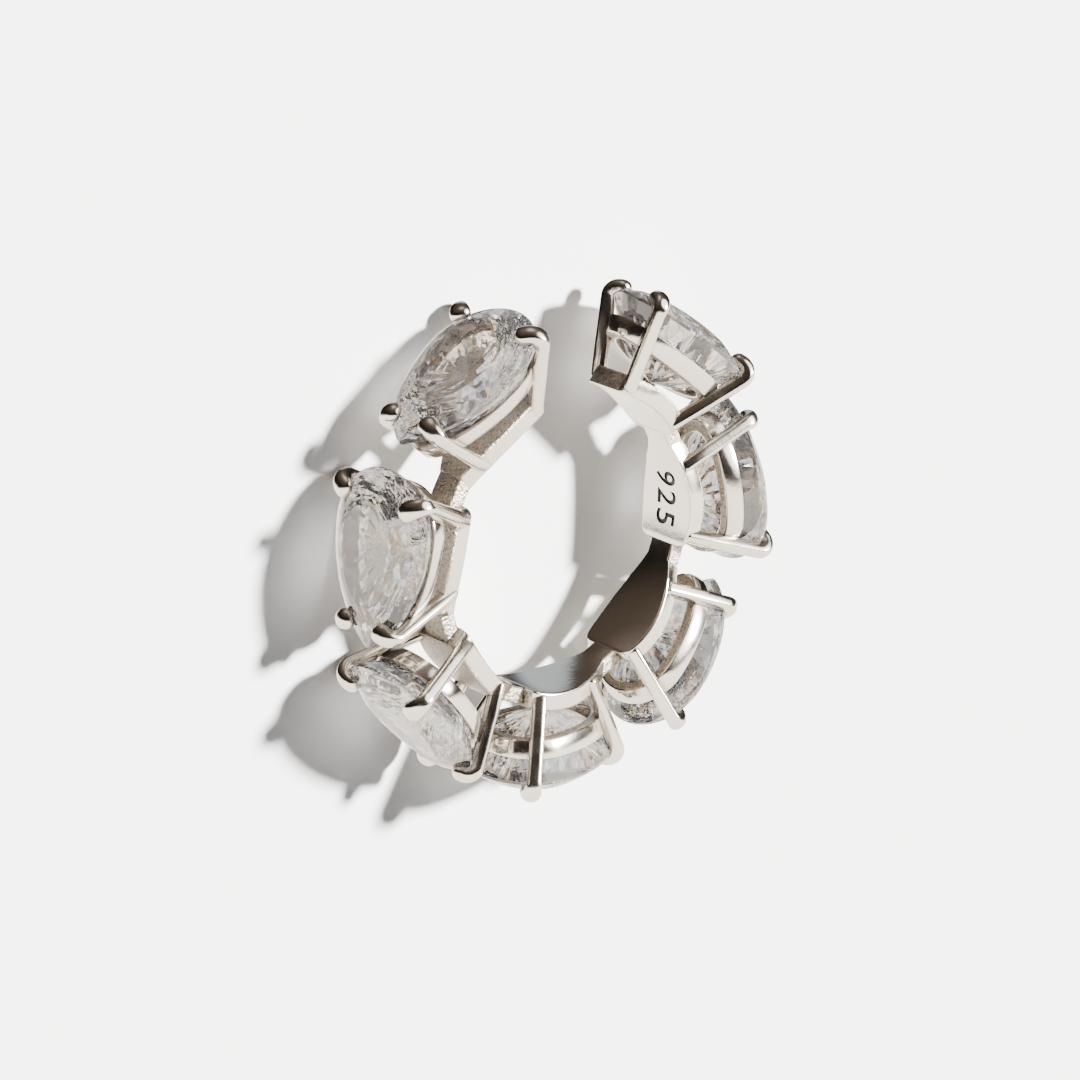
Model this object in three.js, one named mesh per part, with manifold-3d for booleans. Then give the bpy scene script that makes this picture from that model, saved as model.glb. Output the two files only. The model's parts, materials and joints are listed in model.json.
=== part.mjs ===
// Ear cuff: an open silver band that carries seven pear-cut stones in claw baskets.
// Lengths are in millimetres. The ring axis is Z, and the gap in the band faces +Y.
import * as THREE from "three";
import { mergeVertices } from "three/addons/utils/BufferGeometryUtils.js";
import Module from "manifold-3d";

const wasm = await Module();
wasm.setup();
const { Manifold, Mesh } = wasm;

// Band
const INNER_RADIUS = 5.2;
const PLATE_WALL = 0.66;
const BRIDGE_WALL = 0.6;
const BRIDGE_HALF_WIDTH = 0.53;
const PLATE_OUTER = INNER_RADIUS + PLATE_WALL;
const BRIDGE_OUTER = INNER_RADIUS + BRIDGE_WALL;
const ARC_STEP = 3;

// Stone: T runs along the band toward the point, and R is the distance from the ring axis.
const STONE_HALF_WIDTH = 2.15;
const STONE_POINT_LENGTH = 3.87;
const STONE_BACK = 0.85;
const POINT_BLUNT = 0.22;
const FLANK_SPACING = 1.25;
const GIRDLE_THICKNESS = 0.1;
const CROWN_HEIGHT = 0.59;
const PAVILION_DEPTH = 1.73;
const CULET_GAP = 0.28;
const CULET_AHEAD = 0.55;
const TABLE_SCALE = 0.56;
const SEAT_CLEARANCE = 0.04;
const ROUND_CENTRE = -STONE_BACK;
const POINT_T = ROUND_CENTRE + STONE_POINT_LENGTH;
const CULET_T = ROUND_CENTRE + CULET_AHEAD;
const GIRDLE_HALF = GIRDLE_THICKNESS / 2;
const CULET_R = PLATE_OUTER + CULET_GAP;
const GIRDLE_R = CULET_R + PAVILION_DEPTH + GIRDLE_HALF;
const TABLE_R = GIRDLE_R + GIRDLE_HALF + CROWN_HEIGHT;

// Stones follow one another at a fixed gap, as many as leave the opening for the ear.
const STONE_GAP = 0.36;
const EAR_OPENING = 1.9;
const STONE_PITCH = STONE_HALF_WIDTH + STONE_POINT_LENGTH + STONE_GAP;
const STONE_STEP = THREE.MathUtils.radToDeg(2 * Math.asin(STONE_PITCH / 2 / GIRDLE_R));
const OPENING_ANGLE = THREE.MathUtils.radToDeg(EAR_OPENING / INNER_RADIUS);
const STONE_COUNT = Math.floor((360 - OPENING_ANGLE) / STONE_STEP);
const FIRST_STONE = 270 - ((STONE_COUNT - 1) / 2) * STONE_STEP;

// Base plate: along is a share of its length, half a share of its half width
const PLATE_BACK = 1.6;
const PLATE_LENGTH = 3.7;
const PLATE_HALF_WIDTH = 1.19;
const PLATE_PROFILE = [
  { along: 0, half: 0.62 },
  { along: 0.02, half: 0.81 },
  { along: 0.065, half: 0.9 },
  { along: 0.19, half: 0.975 },
  { along: 0.35, half: 1 },
  { along: 0.51, half: 0.96 },
  { along: 0.675, half: 0.84 },
  { along: 0.785, half: 0.73 },
  { along: 0.89, half: 0.59 },
  { along: 1, half: 0.445 },
];
const GAP_END = 0.87;

// Gallery rail: insets are from the girdle, and point shares say how far its point is drawn back
const RAIL_DROP = 0.7;
const RAIL_HEIGHT = 0.62;
const RAIL_WALL = 0.4;
const RAIL_INSET_LOW = 0.58;
const RAIL_INSET_HIGH = 0.38;
const RAIL_POINT = 0.95;
const RAIL_POINT_INNER = 1.1;
const RAIL_BLUNT = 0.8;
const RAIL_HIGH = GIRDLE_R - RAIL_DROP;
const RAIL_LOW = RAIL_HIGH - RAIL_HEIGHT;

// Claws: the foot is a share of the plate's length and of its half width, turn is the place on the
// girdle, and facing is the way that the claw looks out, in degrees from the point.
const CLAW_WIDTH = 0.5;
const CLAW_DEPTH = 0.54;
const CLAW_STAND = 0.23;
const CLAW_SHOULDER_DROP = 0.12;
const CLAW_RISE = 0.52;
const CLAWS = [
  { foot: { along: 0.1, half: 0.757 }, turn: 0.367, facing: 126, reach: 0.72 },
  { foot: { along: 0.768, half: 0.622 }, turn: 0.0806, facing: 60, reach: 0.64 },
];

// Claw tip: forward is a share of the reach, rise of CLAW_RISE, width and depth of the bar
const CLAW_TIP = [
  { forward: 0.04, rise: 0.38, tilt: 18, width: 1.04, depth: 1 },
  { forward: 0.19, rise: 0.71, tilt: 45, width: 1.1, depth: 1 },
  { forward: 0.44, rise: 0.9, tilt: 68, width: 1.2, depth: 0.98 },
  { forward: 0.74, rise: 1, tilt: 84, width: 1.18, depth: 0.88 },
  { forward: 0.93, rise: 1, tilt: 88, width: 0.9, depth: 0.64 },
  { forward: 1, rise: 0.98, tilt: 88, width: 0.46, depth: 0.32 },
];

// Pieces that a cut trims run past it by this much.
const OVERCUT = 0.1;

function toManifold(geometry) {
  const source = geometry.clone();
  source.deleteAttribute("normal");
  source.deleteAttribute("uv");
  const merged = mergeVertices(source, 1e-4);
  return new Manifold(new Mesh({
    numProp: 3,
    vertProperties: new Float32Array(merged.attributes.position.array),
    triVerts: new Uint32Array(merged.index.array),
  }));
}

function toGeometry(manifold) {
  const mesh = manifold.getMesh();
  const geometry = new THREE.BufferGeometry();
  const positions = new Float32Array(mesh.numVert * 3);
  for (let i = 0; i < mesh.numVert; i += 1) {
    for (let c = 0; c < 3; c += 1) {
      positions[3 * i + c] = mesh.vertProperties[mesh.numProp * i + c];
    }
  }
  geometry.setAttribute("position", new THREE.BufferAttribute(positions, 3));
  geometry.setIndex(Array.from(mesh.triVerts));
  return geometry;
}

// Closed solid through rings of points; each ring runs the same way round.
function loftGeometry(rings) {
  const count = rings[0].length;
  const points = rings.flat();
  const faces = [];
  for (let k = 0; k + 1 < rings.length; k += 1) {
    for (let i = 0; i < count; i += 1) {
      const j = (i + 1) % count;
      const a = k * count + i;
      const b = k * count + j;
      faces.push(a, b, b + count, a, b + count, a + count);
    }
  }
  for (const [ring, flip] of [[0, true], [rings.length - 1, false]]) {
    const centre = new THREE.Vector3();
    rings[ring].forEach((p) => centre.add(p));
    centre.divideScalar(count);
    const hub = points.length;
    points.push(centre);
    for (let i = 0; i < count; i += 1) {
      const j = (i + 1) % count;
      const a = ring * count + i;
      const b = ring * count + j;
      faces.push(...(flip ? [hub, b, a] : [hub, a, b]));
    }
  }
  const geometry = new THREE.BufferGeometry();
  geometry.setFromPoints(points);
  geometry.setIndex(faces);
  return geometry;
}

function solid(geometry) {
  const made = toManifold(geometry);
  if (made.volume() > 0) return made;
  const flipped = geometry.clone();
  const index = Array.from(flipped.index.array);
  for (let i = 0; i < index.length; i += 3) {
    [index[i + 1], index[i + 2]] = [index[i + 2], index[i + 1]];
  }
  flipped.setIndex(index);
  return toManifold(flipped);
}

// Frame of one stone: X is outward, Y runs along the band toward the point, Z is the ring axis.
const seat = (r, t, z) => new THREE.Vector3(r, t, z);

function placed(manifold, stone) {
  return manifold.rotate([0, 0, FIRST_STONE + stone * STONE_STEP]);
}

// Pear outline as [T, Z], counted from the point round to the point again.
// Its flank is an arc that runs to a sharp point, blended with a quarter ellipse to blunt it.
function flankPoint(t, halfWidth, centre, point, blunt) {
  const length = point - centre;
  const radius = (length * length + halfWidth * halfWidth) / (2 * halfWidth);
  const x = t - centre;
  const arc = halfWidth - radius + Math.sqrt(radius * radius - x * x);
  const ellipse = halfWidth * Math.sqrt(Math.max(0, 1 - (x / length) ** 2));
  return arc * (1 - blunt) + ellipse * blunt;
}

function pearPoint(turn, inset = 0, pull = 1.55, blunt = POINT_BLUNT) {
  const halfWidth = STONE_HALF_WIDTH - inset;
  const point = POINT_T - pull * inset;
  const side = turn <= 0.5 ? 1 : -1;
  const u = turn <= 0.5 ? turn * 2 : (1 - turn) * 2;
  const split = 0.56;
  if (u < split) {
    const t = point + (ROUND_CENTRE - point) * (u / split) ** FLANK_SPACING;
    return [t, side * Math.max(0, flankPoint(t, halfWidth, ROUND_CENTRE, point, blunt))];
  }
  const angle = (Math.PI / 2) * (1 - (u - split) / (1 - split));
  return [ROUND_CENTRE - halfWidth * Math.cos(angle), side * halfWidth * Math.sin(angle)];
}

function pearLoop(count, inset, pull) {
  const loop = [];
  for (let i = 0; i < count; i += 1) loop.push(pearPoint(i / count, inset, pull, RAIL_BLUNT));
  return loop;
}

// Band pieces
function sector(from, to, outer, halfWidth) {
  const shape = new THREE.Shape();
  const steps = Math.ceil((to - from) / ARC_STEP);
  const at = (radius, k) => {
    const angle = THREE.MathUtils.degToRad(from + ((to - from) * k) / steps);
    return [radius * Math.cos(angle), radius * Math.sin(angle)];
  };
  shape.moveTo(...at(outer, 0));
  for (let k = 1; k <= steps; k += 1) shape.lineTo(...at(outer, k));
  for (let k = steps; k >= 0; k -= 1) shape.lineTo(...at(INNER_RADIUS - 3 * OVERCUT, k));
  const geometry = new THREE.ExtrudeGeometry(shape, { depth: 2 * halfWidth, bevelEnabled: false });
  geometry.translate(0, 0, -halfWidth);
  return solid(geometry);
}

// Place on the base plate as [T, Z], from shares of its length and half width
const onPlate = ({ along, half }) => [along * PLATE_LENGTH - PLATE_BACK, half * PLATE_HALF_WIDTH];

function plateEdge(end) {
  const kept = PLATE_PROFILE.filter(({ along }) => along <= end);
  const next = PLATE_PROFILE[kept.length];
  if (!next) return kept.map(onPlate);
  const before = kept[kept.length - 1];
  const share = (end - before.along) / (next.along - before.along);
  return [...kept, { along: end, half: before.half + (next.half - before.half) * share }].map(onPlate);
}

function plate(end) {
  const edge = plateEdge(end);
  const loop = [...edge, ...edge.map(([t, w]) => [t, -w]).reverse()];
  const rings = [0, PLATE_OUTER + 4 * OVERCUT].map((r) => loop.map(([t, z]) => seat(r, t, z)));
  const reach = THREE.MathUtils.radToDeg(Math.asin(PLATE_LENGTH / 2 / INNER_RADIUS)) * 1.5;
  const ring = sector(-reach, reach, PLATE_OUTER, PLATE_HALF_WIDTH + OVERCUT);
  return solid(loftGeometry(rings)).intersect(ring);
}

function railLoft(low, high, inset, point) {
  const slope = (RAIL_INSET_HIGH - RAIL_INSET_LOW) / RAIL_HEIGHT;
  const rings = [low, high].map((r) => (
    pearLoop(40, inset + slope * (r - RAIL_LOW), point).map(([t, z]) => seat(r, t, z))
  ));
  return solid(loftGeometry(rings));
}

function rail() {
  const outer = railLoft(RAIL_LOW, RAIL_HIGH, RAIL_INSET_LOW, RAIL_POINT);
  const inset = RAIL_INSET_LOW + RAIL_WALL;
  return outer.subtract(railLoft(RAIL_LOW - OVERCUT, RAIL_HIGH + OVERCUT, inset, RAIL_POINT_INNER));
}

// Rounded bar section, width across the claw and depth along its lean
function barRing(centre, along, across, width, depth, count = 8) {
  const ring = [];
  for (let i = 0; i < count; i += 1) {
    const angle = (2 * Math.PI * (i + 0.5)) / count;
    const c = Math.cos(angle);
    const s = Math.sin(angle);
    const grow = (Math.abs(c) ** 5 + Math.abs(s) ** 5) ** -0.2;
    ring.push(centre.clone()
      .addScaledVector(across, (c * grow * width) / 2)
      .addScaledVector(along, (s * grow * depth) / 2));
  }
  return ring;
}

function claw({ foot, turn, facing, reach }, side) {
  const way = THREE.MathUtils.degToRad(facing);
  const lean = new THREE.Vector3(0, Math.cos(way), Math.sin(way) * side);
  const up = new THREE.Vector3(1, 0, 0);
  const across = new THREE.Vector3().crossVectors(lean, up).normalize();
  const [footT, footZ] = onPlate(foot);
  const [girdleT, girdleZ] = pearPoint(turn);
  const start = seat(INNER_RADIUS - 2.5 * OVERCUT, footT, footZ * side);
  const shoulder = seat(GIRDLE_R - CLAW_SHOULDER_DROP, girdleT, girdleZ * side);
  shoulder.addScaledVector(lean, CLAW_STAND);
  const rings = [start, shoulder].map((p) => barRing(p, lean, across, CLAW_WIDTH, CLAW_DEPTH));
  for (const tip of CLAW_TIP) {
    const centre = shoulder.clone().addScaledVector(lean, -tip.forward * reach);
    centre.addScaledVector(up, tip.rise * CLAW_RISE);
    const depthWay = tilt(lean, up, tip.tilt);
    rings.push(barRing(centre, depthWay, across, CLAW_WIDTH * tip.width, CLAW_DEPTH * tip.depth));
  }
  return solid(loftGeometry(rings));
}

function tilt(lean, up, degrees) {
  const angle = THREE.MathUtils.degToRad(degrees);
  return lean.clone().multiplyScalar(Math.cos(angle)).addScaledVector(up, Math.sin(angle));
}

// Brilliant cut: eight mains above and below, stars round the table, halves along the girdle
function planeThrough(a, b, direction) {
  const normal = new THREE.Vector3().crossVectors(b.clone().sub(a), direction).normalize();
  return { normal, offset: normal.dot(a) };
}

// Point shared by two facet planes at a given height
function meetAt(p, q, r) {
  const a = p.normal;
  const b = q.normal;
  const c = p.offset - a.x * r;
  const d = q.offset - b.x * r;
  const det = a.y * b.z - a.z * b.y;
  return seat(r, (c * b.z - a.z * d) / det, (a.y * d - c * b.y) / det);
}

function stoneGeometry(grow = 0) {
  const turns = [0, 0.11, 0.2, 0.275, 0.35, 0.395, 0.43, 0.465];
  const marks = [...turns, 0.5, ...turns.slice(1).map((t) => 1 - t).reverse()];
  const outline = marks.map((turn) => pearPoint(turn, -grow));
  const between = marks.map((turn, i) => {
    const next = i + 1 < marks.length ? marks[i + 1] : 1;
    return pearPoint((turn + next) / 2, -grow);
  });
  const count = marks.length;
  const high = GIRDLE_R + GIRDLE_HALF + grow * 0.5;
  const low = GIRDLE_R - GIRDLE_HALF - grow * 0.5;
  const tableR = TABLE_R + grow;
  const centre = CULET_T;
  const girdle = (i, r) => seat(r, outline[i % count][0], outline[i % count][1]);
  const half = (i, r) => seat(r, between[i % count][0], between[i % count][1]);
  const table = (i) => {
    const [t, z] = outline[i % count];
    return seat(tableR, centre + (t - centre) * TABLE_SCALE, z * TABLE_SCALE);
  };
  const culet = seat(CULET_R - grow * 1.3, centre, 0);
  const along = (i) => girdle((i + 1) % count, 0).sub(girdle((i + count - 1) % count, 0));
  const crownPlane = [];
  const pavilionPlane = [];
  for (let i = 0; i < count; i += 2) {
    crownPlane[i] = planeThrough(girdle(i, high), table(i), along(i));
    pavilionPlane[i] = planeThrough(girdle(i, low), culet, along(i));
  }
  const points = [];
  const faces = [];
  const face = (...corners) => {
    for (let k = 1; k + 1 < corners.length; k += 1) {
      faces.push(points.length, points.length + 1, points.length + 2);
      points.push(corners[0], corners[k], corners[k + 1]);
    }
  };
  const middle = seat(tableR, centre, 0);
  for (let i = 0; i < count; i += 2) {
    const next = (i + 2) % count;
    const star = meetAt(crownPlane[i], crownPlane[next], high + (tableR - high) * 0.52);
    const keel = meetAt(pavilionPlane[i], pavilionPlane[next], low - (low - culet.x) * 0.42);
    const before = (i + count - 2) % count;
    const starBefore = meetAt(crownPlane[before], crownPlane[i], high + (tableR - high) * 0.52);
    const keelBefore = meetAt(pavilionPlane[before], pavilionPlane[i], low - (low - culet.x) * 0.42);
    face(middle, table(i), table(next));
    face(table(i), star, table(next));
    face(table(i), starBefore, girdle(i, high), star);
    face(culet, keel, girdle(i, low), keelBefore);
    for (const k of [i, i + 1]) {
      face(star, girdle(k, high), half(k, high));
      face(star, half(k, high), girdle(k + 1, high));
      face(keel, half(k, low), girdle(k, low));
      face(keel, girdle(k + 1, low), half(k, low));
      face(girdle(k, high), girdle(k, low), half(k, low), half(k, high));
      face(half(k, high), half(k, low), girdle(k + 1, low), girdle(k + 1, high));
    }
  }
  const geometry = new THREE.BufferGeometry();
  geometry.setFromPoints(points);
  geometry.setIndex(faces);
  return geometry;
}

// Frame
const stoneSolid = solid(stoneGeometry());
const seatCut = solid(stoneGeometry(SEAT_CLEARANCE));
const basket = [rail()];
for (const kind of CLAWS) {
  for (const side of [1, -1]) basket.push(claw(kind, side));
}
const parts = [sector(FIRST_STONE, FIRST_STONE + (STONE_COUNT - 1) * STONE_STEP, BRIDGE_OUTER, BRIDGE_HALF_WIDTH)];
const openBasket = basket.reduce((a, b) => a.add(b)).subtract(seatCut);
for (let k = 0; k < STONE_COUNT; k += 1) {
  parts.push(placed(plate(k === STONE_COUNT - 1 ? GAP_END : 1).add(openBasket), k));
}
const bore = Manifold.cylinder(4 * PLATE_HALF_WIDTH, INNER_RADIUS, INNER_RADIUS, 360 / ARC_STEP, true)
  .rotate([0, 0, FIRST_STONE]);
const frame = parts.reduce((a, b) => a.add(b)).subtract(bore);

const silver = new THREE.MeshStandardMaterial({ name: "silver", color: 0xdcdcd8, metalness: 1, roughness: 0.18 });
const clear = new THREE.MeshStandardMaterial({ name: "clear_stone", color: 0xf4f6fa, metalness: 0, roughness: 0.03 });

const group = new THREE.Group();
const add = (name, manifold, material) => {
  const mesh = new THREE.Mesh(toGeometry(manifold), material);
  mesh.name = name;
  group.add(mesh);
};
add("cuff_frame", frame, silver);
for (let k = 0; k < STONE_COUNT; k += 1) add(`stone_${k + 1}`, placed(stoneSolid, k), clear);

// The cuff lies on its side: centred over the origin, lowest claws on Z = 0.
const box = new THREE.Box3().setFromObject(group);
const middle = box.getCenter(new THREE.Vector3());
group.position.set(-middle.x, -middle.y, -box.min.z);
group.updateMatrixWorld(true);

export default group;
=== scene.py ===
# %% [markdown]
# # A silver ear cuff with seven pear-cut stones
# An ear cuff is an open ring that grips the rim of the ear. This one is cast in silver and carries
# seven clear pear-cut stones in claw baskets. Every length of the cuff is in millimetres, and one
# factor turns it into metres. Only the floor and the lamp, which are far larger, are given in metres.
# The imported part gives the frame, so each piece is placed from it.

# %% Load the frame
import json
import math

import bmesh
import bpy
from mathutils import Matrix, Vector

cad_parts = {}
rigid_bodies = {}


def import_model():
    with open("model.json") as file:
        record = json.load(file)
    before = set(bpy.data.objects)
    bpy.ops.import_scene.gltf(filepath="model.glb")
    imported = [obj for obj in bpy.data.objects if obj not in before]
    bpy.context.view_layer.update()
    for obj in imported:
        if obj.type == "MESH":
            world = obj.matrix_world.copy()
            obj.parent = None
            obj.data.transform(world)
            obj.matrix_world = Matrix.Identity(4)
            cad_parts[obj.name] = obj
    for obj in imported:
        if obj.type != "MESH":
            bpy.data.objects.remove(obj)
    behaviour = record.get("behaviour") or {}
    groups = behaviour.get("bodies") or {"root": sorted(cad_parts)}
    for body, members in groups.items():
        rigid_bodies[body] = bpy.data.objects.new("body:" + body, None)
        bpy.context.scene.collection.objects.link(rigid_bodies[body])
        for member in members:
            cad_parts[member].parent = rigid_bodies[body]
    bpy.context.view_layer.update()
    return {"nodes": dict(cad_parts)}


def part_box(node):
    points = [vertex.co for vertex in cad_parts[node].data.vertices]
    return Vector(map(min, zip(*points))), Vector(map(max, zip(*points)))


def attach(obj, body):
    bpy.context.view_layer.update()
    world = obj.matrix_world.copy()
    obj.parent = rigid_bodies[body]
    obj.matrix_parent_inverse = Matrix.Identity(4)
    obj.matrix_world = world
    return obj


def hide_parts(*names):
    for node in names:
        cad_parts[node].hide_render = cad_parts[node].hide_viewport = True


MM = 0.001
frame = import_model()
print("nodes:", sorted(frame["nodes"]))

# %% [markdown]
# ## The sizes that everything follows
# A stone has a frame of its own: R is the distance from the ring axis, T runs along the band toward
# the stone's point, and Z is the ring axis. One stone is drawn in that frame and turned round the
# ring seven times. The ring axis is found from the box of the lowest stone of the arc.

# %% Sizes
INNER_RADIUS = 5.2
PLATE_OUTER = INNER_RADIUS + 0.66
BRIDGE_OUTER = INNER_RADIUS + 0.6
BRIDGE_HALF_WIDTH = 0.53

STONE_HALF_WIDTH = 2.15
STONE_POINT_LENGTH = 3.87
ROUND_CENTRE = -0.85
POINT_T = ROUND_CENTRE + STONE_POINT_LENGTH
POINT_BLUNT = 0.22
GIRDLE_HALF = 0.05
CROWN_HEIGHT = 0.59
PAVILION_DEPTH = 1.73
CULET_R = PLATE_OUTER + 0.28
CULET_T = ROUND_CENTRE + 0.55
GIRDLE_R = CULET_R + PAVILION_DEPTH + GIRDLE_HALF
TABLE_R = GIRDLE_R + GIRDLE_HALF + CROWN_HEIGHT
TABLE_SCALE = 0.56

STONE_COUNT = 7
STONE_GAP = 0.36
STONE_PITCH = STONE_HALF_WIDTH + STONE_POINT_LENGTH + STONE_GAP
STONE_STEP = 2 * math.degrees(math.asin(STONE_PITCH / 2 / GIRDLE_R))
FIRST_STONE = 270 - (STONE_COUNT - 1) / 2 * STONE_STEP

lowest, highest = (Vector(corner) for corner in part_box("stone_4"))
RING_CENTRE = Vector((highest.x - POINT_T * MM, lowest.y + TABLE_R * MM, (lowest.z + highest.z) / 2))
print("stone step:", round(STONE_STEP, 3), "girdle radius:", round(GIRDLE_R, 3))
print("ring centre:", [round(value / MM, 3) for value in RING_CENTRE])

# %% [markdown]
# ## Small helpers
# Lofting joins rings of points into a closed skin, which suits cast metal: the band, the rails and
# the claws are all a section carried along a path. Edges sharper than a given angle stay crisp and
# the rest are shaded smooth, as polishing leaves them.

# %% Mesh helpers
def seat(r, t, z):
    """A point in a stone's own frame."""
    return Vector((r, t, z))


def new_piece(name, points, faces, slots=None):
    """An object at the origin with the given mesh; slots gives each face its material."""
    mesh = bpy.data.meshes.new(name)
    mesh.from_pydata([tuple(point) for point in points], [], faces)
    if slots:
        mesh.polygons.foreach_set("material_index", slots)
    mesh.update()
    piece = bpy.data.objects.new(name, mesh)
    bpy.context.collection.objects.link(piece)
    return piece


def loft(rings, closed=False):
    """Points and faces through rings of equal length; open lofts get a cap at each end."""
    count = len(rings[0])
    points = [point for ring in rings for point in ring]
    faces = []
    spans = len(rings) if closed else len(rings) - 1
    for k in range(spans):
        here = k * count
        there = ((k + 1) % len(rings)) * count
        for i in range(count):
            j = (i + 1) % count
            faces.append((here + i, here + j, there + j, there + i))
    if not closed:
        faces.append(tuple(reversed(range(count))))
        faces.append(tuple(range((len(rings) - 1) * count, len(rings) * count)))
    return points, faces


def shade(piece, sharp_angle):
    """Outward faces, smooth shading, and sharp edges above the angle."""
    form = bmesh.new()
    form.from_mesh(piece.data)
    bmesh.ops.recalc_face_normals(form, faces=form.faces)
    for face in form.faces:
        face.smooth = sharp_angle > 0
    for edge in form.edges:
        bent = len(edge.link_faces) == 2 and edge.calc_face_angle() > math.radians(sharp_angle)
        edge.smooth = not bent
    form.to_mesh(piece.data)
    form.free()


def bake_modifiers(piece):
    """Replaces the piece's mesh with the one its modifiers make, and drops the modifiers."""
    graph = bpy.context.evaluated_depsgraph_get()
    graph.update()
    made = bpy.data.meshes.new_from_object(piece.evaluated_get(graph))
    piece.modifiers.clear()
    piece.data = made
    return piece


def discard(piece):
    """Removes a piece that only helped to make another."""
    bpy.data.objects.remove(piece, do_unlink=True)


print("helpers are ready for a frame of", len(frame["nodes"]), "nodes")

# %% [markdown]
# ## Silver
# Polished silver is a mirror with faint hand-polishing marks, so the roughness varies a little and a
# fine bump breaks up the reflections. Where two faces meet, the colour is painted darker, a brown-grey
# painted shade that Ambient Occlusion finds. The bridges, the backs of the plates, and the insides and
# undersides of the rails are rough cast silver with small brown pits, and their colour is painted darker
# brown as shade, since they face away from the light. The cut mark is blackened. One function makes
# all three finishes from a few numbers, so that they stay related.

# %% Silver finishes
HAND_MARKS_PER_METRE = 900.0
HAND_MARK_RANGE = (0.3, 0.7)
PIT_RANGE = (0.35, 0.65)
# Painted shade: Ambient Occlusion darkens the colour in corners and between parts, within this reach in
# millimetres.
CORNER_SHADE_REACH = 0.25
CORNER_SHADE_SAMPLES = 6
SHADE_AND_PITS_FULL, SHADE_AND_PITS_NONE = 0.3, 0.84


def node(tree, kind, **values):
    """A new node; each value goes to the socket of that name, or else to the node's own setting."""
    made = tree.nodes.new(kind)
    for name, value in values.items():
        if name in made.inputs:
            made.inputs[name].default_value = value
        else:
            setattr(made, name, value)
    return made


def remap(tree, source, span, low, high):
    """Stretches the values of source in span to run from low to high."""
    made = node(tree, "ShaderNodeMapRange")
    made.inputs["From Min"].default_value, made.inputs["From Max"].default_value = span
    made.inputs["To Min"].default_value = low
    made.inputs["To Max"].default_value = high
    tree.links.new(source, made.inputs["Value"])
    return made.outputs["Result"]


def colour_ramp(tree, source, stops, interpolation="LINEAR"):
    """Colours along the values of source; each stop is a place from 0 to 1 and a colour."""
    ramp = node(tree, "ShaderNodeValToRGB")
    ramp.color_ramp.interpolation = interpolation
    edges = ramp.color_ramp.elements
    while len(edges) < len(stops):
        edges.new(0.5)
    for edge, (spot, colour) in zip(edges, stops):
        edge.position = spot
        edge.color = (*colour, 1.0)
    tree.links.new(source, ramp.inputs["Fac"])
    return ramp.outputs["Color"]


def silver(name, colour, shade_and_pit_colour, roughness, spread, grain_size, grain_depth, speckle=0.0):
    """Silver of one finish, its colour painted darker as shade in corners and darker in its pits; grain
    is measured in millimetres.
    """
    material = bpy.data.materials.new(name)
    material.use_nodes = True
    tree = material.node_tree
    shader = tree.nodes["Principled BSDF"]
    shader.inputs["Metallic"].default_value = 1.0
    place = node(tree, "ShaderNodeTexCoord")
    marks = node(tree, "ShaderNodeTexNoise", Scale=HAND_MARKS_PER_METRE, Detail=4.0)
    tree.links.new(place.outputs["Object"], marks.inputs["Vector"])
    polish = remap(tree, marks.outputs["Fac"], HAND_MARK_RANGE, roughness - spread, roughness + spread)
    tree.links.new(polish, shader.inputs["Roughness"])
    # Painted shade: Ambient Occlusion darkens the colour where faces meet, where shade falls.
    corner = node(tree, "ShaderNodeAmbientOcclusion", Distance=CORNER_SHADE_REACH * MM)
    corner.samples = CORNER_SHADE_SAMPLES
    grain = node(tree, "ShaderNodeTexNoise", Scale=1.0 / (grain_size * MM), Detail=3.0)
    tree.links.new(place.outputs["Object"], grain.inputs["Vector"])
    pits = remap(tree, grain.outputs["Fac"], PIT_RANGE, 1.0 - speckle, 1.0 + speckle)
    # The painted corner shade and the pits' own tone together pick the colour.
    shade_and_pits = node(tree, "ShaderNodeMath", operation="MULTIPLY")
    tree.links.new(corner.outputs["AO"], shade_and_pits.inputs[0])
    tree.links.new(pits, shade_and_pits.inputs[1])
    tint = colour_ramp(tree, shade_and_pits.outputs["Value"], ((SHADE_AND_PITS_FULL, shade_and_pit_colour), (SHADE_AND_PITS_NONE, colour)))
    tree.links.new(tint, shader.inputs["Base Color"])
    bump = node(tree, "ShaderNodeBump", Strength=1.0, Distance=grain_depth * MM)
    tree.links.new(grain.outputs["Fac"], bump.inputs["Height"])
    tree.links.new(bump.outputs["Normal"], shader.inputs["Normal"])
    return material


polished = silver(
    "polished_silver", colour=(0.78, 0.735, 0.66), shade_and_pit_colour=(0.20, 0.16, 0.13),
    roughness=0.15, spread=0.05, grain_size=0.15, grain_depth=0.003,
)
# Rough cast silver, its colour painted darker brown as shade on faces that turn away from the light.
cast_with_painted_shade = silver(
    "cast_silver_painted_shade", colour=(0.46, 0.41, 0.35), shade_and_pit_colour=(0.1, 0.08, 0.065),
    roughness=0.36, spread=0.1, grain_size=0.09, grain_depth=0.08, speckle=0.5,
)
blackened = silver(
    "blackened_silver", colour=(0.07, 0.065, 0.06), shade_and_pit_colour=(0.03, 0.028, 0.026),
    roughness=0.5, spread=0.05, grain_size=0.06, grain_depth=0.004,
)
SILVERS = (polished, cast_with_painted_shade, blackened)
POLISHED, CAST_WITH_PAINTED_SHADE, BLACKENED = range(3)
print("finishes:", [material.name for material in SILVERS])

# %% [markdown]
# ## The pear outline
# Half a circle makes the round end. Each flank is an arc to the point, blended with a quarter
# ellipse that blunts it a little, because a real point is never left knife-sharp.

# %% Pear outline
FLANK_SHARE = 0.56
FLANK_CROWDING = 1.25
POINT_PULL = 1.55


def flank(t, half_width, point, blunt):
    """Half the width of the pear at t, between its widest place and its point."""
    length = point - ROUND_CENTRE
    radius = (length ** 2 + half_width ** 2) / (2 * half_width)
    x = t - ROUND_CENTRE
    arc = half_width - radius + math.sqrt(radius ** 2 - x ** 2)
    ellipse = half_width * math.sqrt(max(0.0, 1 - (x / length) ** 2))
    return max(0.0, arc * (1 - blunt) + ellipse * blunt)


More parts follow.
